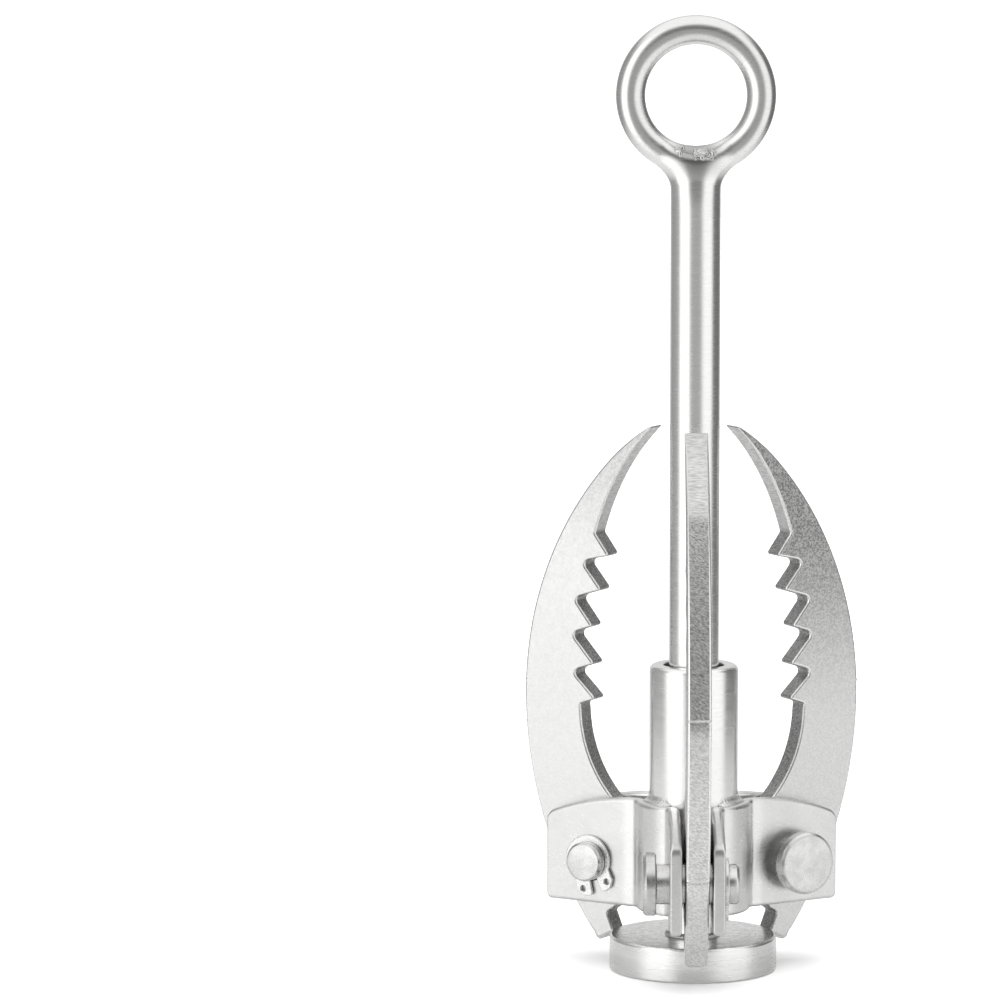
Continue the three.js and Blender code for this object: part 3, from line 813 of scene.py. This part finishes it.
def half_plate_stations():
    """Stations of a bent plate from its middle (+X) to the end of the ear beside the arm at +60 degrees:
    place, outward normal, lowest and highest edge, and how far the section draws in."""
    panel_radius = SLEEVE_RADIUS + PLATE_GAP + PLATE / 2
    ear_offset = SLOT / 2 + PLATE / 2
    bend_offset = ear_offset + PLATE_BEND
    bend_s = math.sqrt((panel_radius + PLATE_BEND) ** 2 - bend_offset**2)
    arm = math.radians(60)

    def beside_arm(s, offset):
        return (s * math.cos(arm) + offset * math.sin(arm), s * math.sin(arm) - offset * math.cos(arm))

    bend_angle = 60 - math.degrees(math.atan2(bend_offset, bend_s))
    stations = []
    for angle in np.linspace(0, bend_angle, 15):
        normal = (math.cos(math.radians(angle)), math.sin(math.radians(angle)))
        at = tuple(v * panel_radius for v in normal)
        stations.append((at, normal, EAR_BOTTOM, EAR_TOP, 0))
    bend_x, bend_y = beside_arm(bend_s, bend_offset)
    for angle in np.linspace(bend_angle, -30, 13)[1:]:
        normal = (math.cos(math.radians(angle)), math.sin(math.radians(angle)))
        at = (bend_x - PLATE_BEND * normal[0], bend_y - PLATE_BEND * normal[1])
        stations.append((at, normal, EAR_BOTTOM, ear_top(bend_s), 0))
    straight = np.linspace(bend_s, EAR_END - EAR_CORNER_TOP, 22)[1:]
    rounded = [EAR_END - EAR_CORNER_TOP * (1 - math.sin(a)) for a in np.radians(np.linspace(8, 90, 12))]
    for s in [*straight, *rounded]:
        to_end = EAR_END - s
        low = EAR_BOTTOM + corner_draw(EAR_CORNER_BOTTOM, to_end)
        high = ear_top(s) - corner_draw(EAR_CORNER_TOP, to_end)
        draw = corner_draw(END_EDGE, to_end)
        stations.append((beside_arm(s, ear_offset), (math.sin(arm), -math.cos(arm)), low, high, draw))
    return stations


def plate_section(station):
    """The rounded section of a bent plate at one station."""
    at, normal, low, high, draw = station
    half = PLATE / 2 - draw
    radius = max(PLATE_EDGE - draw, 0.02)
    support = 0.08  # a flat strip beside each rounding keeps the shading of the flats flat
    corners = [(-half, low + draw), (half, low + draw), (half, high - draw), (-half, high - draw)]
    signs = [(1, 1), (-1, 1), (-1, -1), (1, -1)]
    ring = []
    for (across, z), (inward, up), start in zip(corners, signs, (180, 270, 0, 90)):
        rounding = arc(across + inward * radius, z + up * radius, radius, start, start + 90, 5)
        (ax, az), (bx, bz) = rounding[0], rounding[-1]
        before = (ax, az + up * support) if start in (180, 0) else (ax + inward * support, az)
        after = (bx + inward * support, bz) if start in (180, 0) else (bx, bz + up * support)
        ring += [before, *rounding, after]
    return [(at[0] + normal[0] * u, at[1] + normal[1] * u, z) for u, z in ring]


def drill_pin_hole(plate, arm):
    """Cuts the hole for a pin through the ear beside an arm."""
    reach = 2 * SLOT
    profile = [(0, -reach), (PIN_HOLE, -reach), (PIN_HOLE, reach), (0, reach)]
    drill = piece("drill", *turned(profile, 72), [satin])
    drill.matrix_world = turn("Z", arm) @ PIVOT @ turn("X", 90)
    cut = plate.modifiers.new("pin_hole", "BOOLEAN")
    cut.object = drill
    cut.operation = "DIFFERENCE"
    cut.solver = "EXACT"
    evaluated = plate.evaluated_get(bpy.context.evaluated_depsgraph_get())
    drilled = bpy.data.meshes.new_from_object(evaluated)
    plate.modifiers.clear()
    plate.data = drilled
    bpy.data.objects.remove(drill)


def bent_plate(place):
    half = half_plate_stations()
    mirrored = [((at[0], -at[1]), (normal[0], -normal[1]), *edges) for at, normal, *edges in half[:0:-1]]
    plate = piece(f"bent_plate_{place}", *loft([plate_section(s) for s in mirrored + half]), [satin])
    for arm in (60, -60):
        drill_pin_hole(plate, arm)
    plate.data.set_sharp_from_angle(angle=math.radians(35))
    return plate


def plate_weld(place):
    bead = ripple_bead(SLEEVE_RADIUS, EAR_TOP, SLEEVE_WELD_LEG, -27, 27, ripples=9, depth=0.02,
                       belly=-0.05, steps=96)
    return piece(f"plate_weld_{place}", *bead, [fillet_metal], crease=80)


# ---- claws ----


def ridged_arc(radius, start, end, steps):
    """An arc of the claw's back, through its belly, with the low ridges that the cut left across it."""
    centre = BELLY - radius
    angles = list(np.linspace(start, end, steps + 1))
    for height in CUT_RIDGES:
        middle = math.degrees(math.asin((height - BELLY_Z) / radius))
        near = [middle + math.degrees(d * RIDGE_WIDTH / radius) for d in np.linspace(-3, 3, 16)]
        angles += [a for a in near if start < a < end]
    points = []
    for a in np.radians(sorted(angles)):
        z = BELLY_Z + radius * math.sin(a)
        rise = sum(RIDGE * math.exp(-(((z - height) / RIDGE_WIDTH) ** 2)) for height in CUT_RIDGES)
        points.append((centre + (radius + rise) * math.cos(a), z + rise * math.sin(a)))
    return points


def bend(start, control, end, steps):
    """Points between the ends of a quadratic curve, clear of the tip's rounding."""
    t = np.linspace(0, 1, steps + 1)[1:-1, None]
    start, control, end = (np.array(point, float) for point in (start, control, end))
    points = (1 - t) ** 2 * start + 2 * t * (1 - t) * control + t**2 * end
    return [tuple(p) for p in points if math.dist(p, TIP) > TIP_CLEAR]


def claw_outline():
    blade = bend(TIP, BLADE_CONTROL, ELBOW, 28)
    teeth = []
    for tip, gullet, gullet_round in zip(TOOTH_TIPS, GULLETS, GULLET_ROUNDS):
        teeth += [(*tip, TOOTH_ROUND), (*gullet, gullet_round)]
    back = ridged_arc(BACK_LOWER, BACK_START, 0, 40) + ridged_arc(BACK_UPPER, 0, BACK_END, 50)[1:]
    slope = math.radians(BACK_END)
    pull = (back[-1][0] - BACK_CONTROL * math.sin(slope), back[-1][1] + BACK_CONTROL * math.cos(slope))
    back += bend(back[-1], pull, TIP, 16)
    return rounded_outline([
        (*TIP, TIP_ROUND), *blade, (*ELBOW, 1), *teeth,
        *arc(*THROAT, THROAT_RADIUS, *THROAT_SPAN, 40),
        *arc(PIVOT_R, PIVOT_Z, HUB_RADIUS, *HUB_SPAN, 24),
        (*NOTCH, 0.8), (*HEEL_INNER, 0.7), (*HEEL_TIP, 1.7), *back,
    ])


def claw_edge(x, z):
    """Width of a claw's worn edge at a place on its outline."""
    at_tip = 1 - float(smoothstep(math.dist((x, z), TIP), 0, 14))
    at_heel = 1 - float(smoothstep(math.dist((x, z), HEEL_TIP), 2, 5))
    return CLAW_EDGE + (TIP_EDGE - CLAW_EDGE) * at_tip + (HEEL_EDGE - CLAW_EDGE) * at_heel


def claw(place):
    holes = [round_hole(PIVOT_R, PIVOT_Z, PIN_HOLE, 64)]
    materials = [CLAW_FACES[place], worn_rim_with_painted_highlight, cut_edge]
    return slab(f"toothed_claw_{place}", claw_outline(), holes, CLAW, claw_edge, materials)


# ---- pins and clips: the pin's axis is its own Z, with the head at the low end ----

EAR_OUTER = SLOT / 2 + PLATE
CLIP_START = EAR_OUTER + CLIP_GAP


def pin_end(radius, height, inwards, lip):
    """Profile of a chamfered end with worn corners, from its face to its side. Inwards is the way into
    the pin, +1 or -1, and lip is how much the corner at the side is worn."""
    face = radius - PIN_CHAMFER
    points = [(face - 0.25, 0), (face, 0.06), (radius - lip, PIN_CHAMFER), (radius, PIN_CHAMFER + 0.2)]
    return [(0, height), *((r, height + inwards * depth) for r, depth in points)]


def pin(place):
    head_top = -(EAR_OUTER + PIN_FLOAT)
    head_bottom = head_top - PIN_HEAD
    head_edge, neck_edge = 0.35, 0.3
    groove_end = CLIP_START + CLIP + CLIP_GAP
    tail = CLIP_START + CLIP + PIN_TAIL
    profile = pin_end(PIN_HEAD_RADIUS, head_bottom, 1, 0.12)
    profile += [(PIN_HEAD_RADIUS, head_top - head_edge), (PIN_HEAD_RADIUS - head_edge, head_top)]
    profile += [(PIN_RADIUS + neck_edge, head_top), (PIN_RADIUS, head_top + neck_edge)]
    profile += [(PIN_RADIUS, EAR_OUTER), (GROOVE_RADIUS, EAR_OUTER)]
    profile += [(GROOVE_RADIUS, groove_end), (PIN_RADIUS, groove_end)]
    profile += reversed(pin_end(PIN_RADIUS, tail, -1, 0.1))
    return piece(f"pin_{place}", *turned(profile, 96), [pin_metal], crease=28)


def polar(radius, angle):
    return (radius * math.cos(math.radians(angle)), radius * math.sin(math.radians(angle)))


def clip_outline():
    """Open between two lugs at angle 0, and widest opposite them."""
    opening, lug_end = 12, 55  # angles from the middle of the gap
    # Corners of a lug: radius, angle and rounding.
    lug_corners = [(CLIP_LUG, 9, 1), (CLIP_LUG + 0.4, 26, 1.2), (CLIP_LUG - 0.7, 40, 1.2)]
    lug = [(*polar(radius, angle), rounding) for radius, angle, rounding in lug_corners]
    other_lug = [(x, -z, rounding) for x, z, rounding in reversed(lug)]
    back = []
    for share in np.linspace(0, 1, 61):
        radius = CLIP_SIDE + (CLIP_BACK - CLIP_SIDE) * math.sin(math.pi * share)
        back.append(polar(radius, lug_end + (360 - 2 * lug_end) * share))
    bore = arc(0, 0, CLIP_BORE, 360 - opening, opening, 60)
    return rounded_outline([*lug, *back, *other_lug, *bore])


def clip_edge(x, z):
    return CLIP_EDGE


def clip(place):
    out, angle = CLIP_HOLE_AT
    holes = [round_hole(*polar(out, side), CLIP_HOLE, 20) for side in (angle, -angle)]
    return slab(f"retaining_clip_{place}", clip_outline(), holes, CLIP, clip_edge, [clip_metal])


# ---- assembly ----

settle(foot_disc(), "shaft", "turned_steel", "base_disc")
settle(foot_weld(), "shaft", "weld_steel", "base_weld")
settle(rod(), "shaft", "polished_steel", "shaft_rod")
settle(eye(), "shaft", "polished_steel", "eye_ring", "eye_weld")
settle(weld_marks(), "shaft", "weld_steel")
settle(sleeve(), "sleeve", "polished_steel", "sleeve_tube")

for place, azimuth in PLATES.items():
    spot = turn("Z", azimuth)
    settle(bent_plate(place), "sleeve", "satin_steel", f"bracket_plate_{place}", place=spot)
    settle(plate_weld(place), "sleeve", "weld_steel", f"bracket_weld_{place}", place=spot)

for place, azimuth in ARMS.items():
    arm = turn("Z", azimuth)
    pinned = arm @ PIVOT
    seat = Matrix.Translation((0, (CLIP_START + CLIP / 2) * MM, 0))
    settle(claw(place), f"claw_{place}", "claw_steel", f"claw_{place}", place=arm)
    settle(pin(place), f"pin_{place}", "pin_steel", f"clevis_pin_{place}", place=pinned @ turn("X", -90))
    lean = turn("Y", -CLIP_LEAN)
    settle(clip(place), f"pin_{place}", "circlip_steel", f"circlip_{place}", place=pinned @ seat @ lean)


# ---- camera, floor and light ----


CAMERA_AT = (-0.0582, -1.85507, 0.37027)
CAMERA_TILT = 83  # degrees up from straight down
LENS = 224.06  # focal length in millimetres on a sensor 36 wide


def camera():
    data = bpy.data.cameras.new("camera")
    data.sensor_width = 36
    data.lens = LENS
    data.clip_end = 50
    made = bpy.data.objects.new("camera", data)
    made.location = CAMERA_AT
    made.rotation_euler = (math.radians(CAMERA_TILT), 0, 0)
    scene.collection.objects.link(made)
    scene.camera = made


FLOOR_RADIUS, FLOOR_THICKNESS = 14000, 2
FLOOR_TONES = (0.93, 0.95)
TABLE = (0.3, 0.7)  # metres over which the floor fades out of the reflections in the metal
TABLE_SHARE = 0.4  # how much of it they show close to the object


def floor():
    low, rim = -FLOOR_THICKNESS, FLOOR_RADIUS
    verts, faces = turned([(0, low), (rim, low), (rim, 0), (0, 0)], 64)
    material = bpy.data.materials.new("pale_floor")
    tree = blank_tree(material)
    place = own_place(tree)
    dark, light = ((tone, tone, tone, 1) for tone in FLOOR_TONES)
    tone = tint(tree, noise(tree, place, 0.002), dark, light)
    shader = node(tree, "BsdfPrincipled", {"Base Color": tone, "Roughness": 0.9, "Specular IOR Level": 0.1})
    x, y, _ = split(tree, place)
    beyond_table = remap(tree, from_axis(tree, x, y), *TABLE, 1 - TABLE_SHARE, 1.0)
    unseen = math_node(tree, "MULTIPLY", node(tree, "LightPath").outputs["Is Glossy Ray"], beyond_table)
    clear = node(tree, "BsdfTransparent")
    mixed = node(tree, "MixShader", {0: unseen, 1: shader.outputs[0], 2: clear.outputs[0]})
    output = node(tree, "OutputMaterial")
    tree.links.new(mixed.outputs[0], output.inputs[0])
    made = piece("floor", verts, faces, [material])


# Brightness of the studio by azimuth in degrees, 0 towards the camera and positive to its right: a dim
# room behind the camera, a tall soft box on each side of it, dark flags at the sides, and a light wall
# behind the object.
BANDS = [(-180, 0.7), (-156, 0.7), (-136, 0.31), (-90, 0.38), (-62, 1.55), (-40, 1.55), (-17, 0.41),
         (18, 0.40), (42, 1.08), (74, 1.08), (94, 0.18), (134, 0.16), (156, 0.65), (180, 0.7)]
BRIGHTEST = max(value for _, value in BANDS)
ROOM_LOW, ROOM_HIGH = -44, 42  # elevations between which the bands stand
ROOM_BLUR = 12  # how far either limit is blurred
ROOF, GROUND = 1.1, 0.65  # brightness above and below them
DARK_CEILING = 0.55  # share by which the room is dimmer above the camera
CEILING_SIDES = (18, 46)  # azimuths on either side over which that dimming ends
CEILING_RISE = (0, 16)  # elevations over which it begins


def studio():
    world = bpy.data.worlds.new("studio")
    scene.world = world
    tree = blank_tree(world)
    x, y, z = split(tree, node(tree, "TexCoord").outputs["Generated"])
    azimuth = math_node(tree, "ARCTAN2", x, math_node(tree, "MULTIPLY", y, -1.0))
    ramp = node(tree, "ValToRGB", {0: share_of(tree, azimuth, -math.pi, math.pi)})
    ramp.color_ramp.interpolation = "EASE"
    stops = ramp.color_ramp.elements  # a new ramp already has one stop at each end
    for angle, _ in BANDS[1:-1]:
        stops.new((angle + 180) / 360)
    for stop, (_, value) in zip(stops, BANDS):
        stop.color = (*[value / BRIGHTEST] * 3, 1)
    elevation = math_node(tree, "MULTIPLY", math_node(tree, "ARCSINE", z), 180 / math.pi)
    roofed = remap(tree, elevation, ROOM_HIGH - ROOM_BLUR, ROOM_HIGH + ROOM_BLUR, 0.0, 1.0)
    grounded = remap(tree, elevation, ROOM_LOW - ROOM_BLUR, ROOM_LOW + ROOM_BLUR, 1.0, 0.0)
    to_side = math_node(tree, "MULTIPLY", math_node(tree, "ABSOLUTE", azimuth), 180 / math.pi)
    in_front = remap(tree, to_side, *CEILING_SIDES, DARK_CEILING, 0.0)
    dimming = math_node(tree, "MULTIPLY", in_front, remap(tree, elevation, *CEILING_RISE, 0.0, 1.0))
    kept = math_node(tree, "SUBTRACT", BRIGHTEST, math_node(tree, "MULTIPLY", dimming, BRIGHTEST))
    level = blend(tree, roofed, math_node(tree, "MULTIPLY", ramp.outputs[0], kept), ROOF)
    level = blend(tree, grounded, level, GROUND)
    level = blend(tree, node(tree, "LightPath").outputs["Is Camera Ray"], level, 1.0)
    background = node(tree, "Background", {"Color": (1, 1, 1, 1), "Strength": level})
    output = node(tree, "OutputWorld")
    tree.links.new(background.outputs[0], output.inputs[0])


OVERHEAD_POWER = 2.6  # watts per square metre
OVERHEAD_SPREAD = 80  # degrees of sky that it fills
OVERHEAD_HEIGHT = 2  # metres; a sun lights alike from any height


def overhead_light():
    """Wide soft light from above that whitens the floor and lays a faint shadow round the foot."""
    data = bpy.data.lights.new("overhead", "SUN")
    data.energy = OVERHEAD_POWER
    data.angle = math.radians(OVERHEAD_SPREAD)
    made = bpy.data.objects.new("overhead", data)
    made.location = (0, 0, OVERHEAD_HEIGHT)
    made.visible_glossy = False
    scene.collection.objects.link(made)


camera()
floor()
studio()
overhead_light()
scene.view_settings.view_transform = "Standard"
